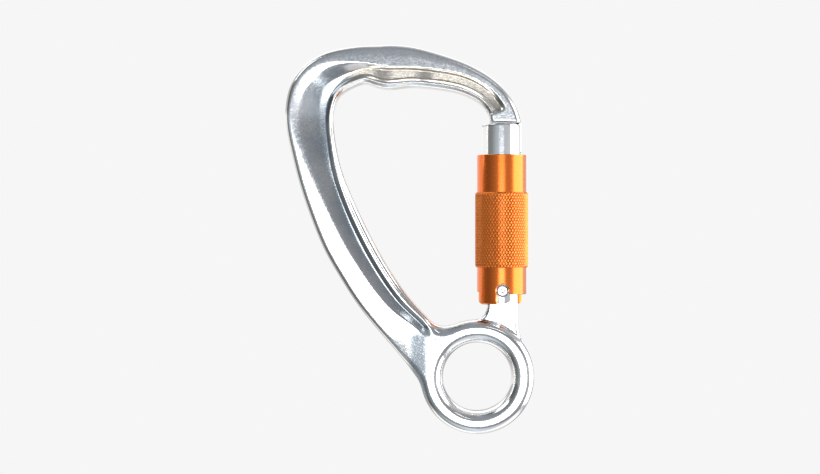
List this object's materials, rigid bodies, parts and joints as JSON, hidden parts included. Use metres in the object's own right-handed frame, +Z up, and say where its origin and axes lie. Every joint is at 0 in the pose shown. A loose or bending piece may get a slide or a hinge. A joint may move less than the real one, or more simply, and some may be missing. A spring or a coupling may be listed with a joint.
{
  "type": "locking carabiner",
  "caption": "Locking carabiner: a C-shaped forged aluminium body with a captive eye, a hinged round gate and an orange knurled sleeve that lifts and twists.",
  "frame": {"origin": "highest point of the basket, where the connector hangs on a rope or an anchor, on the mid-plane of the body", "axes": "+Z up along the connector, from the captive eye to the basket; +X across it, from the spine towards the gate; Y through its thickness, with the front face at -Y"},
  "size_m": [0.0898, 0.0192, 0.14],
  "materials": {
    "forged_aluminium": "tumbled and polished, with rounded edges",
    "gate_aluminium": "turned and polished",
    "orange_anodised": "orange anodised, smooth collars and a diamond knurl",
    "rivet_steel": "bright formed head",
    "spring_steel": "drawn wire and ground pins"
  },
  "bodies": {
    "body": {"frame_body": "forged_aluminium", "hinge_rivet": "rivet_steel"},
    "gate": {"gate_barrel": "gate_aluminium", "sleeve_guide_pin": "spring_steel", "gate_spring": "spring_steel", "sleeve_spring": "spring_steel"},
    "plunger": {"gate_plunger": "spring_steel"},
    "spring_seat": {"spring_seat_ring": "spring_steel"},
    "sleeve": {"lock_sleeve": "orange_anodised"}
  },
  "joints": [
    {"name": "gate_swing", "type": "hinge", "parent": "body", "child": "gate", "pos_m": [0.0503, 0, -0.07455], "axis": [0, -1, 0], "range_deg": [0, 32], "stiffness_Nm_per_rad": 0.35, "springref_deg": -45.84},
    {"name": "plunger_push", "type": "slide", "parent": "gate", "child": "plunger", "axis": [0, 0, 1], "range_m": [0, 0.00162], "deforming": ["gate_spring"]},
    {"name": "sleeve_lift", "type": "slide", "parent": "gate", "child": "spring_seat", "axis": [0, 0, 1], "range_m": [0, 0.0035], "stiffness_N_per_m": 700, "springref_m": -0.007, "deforming": ["sleeve_spring"]},
    {"name": "sleeve_twist", "type": "hinge", "parent": "spring_seat", "child": "sleeve", "pos_m": [0.0503, 0, -0.07455], "axis": [0, 0, -1], "range_deg": [0, 102], "stiffness_Nm_per_rad": 0.02, "springref_deg": -68.75}
  ],
  "couplings": [
    {"joint": "plunger_push", "follows": "gate_swing", "m_per_rad": 0.0028648}
  ]
}
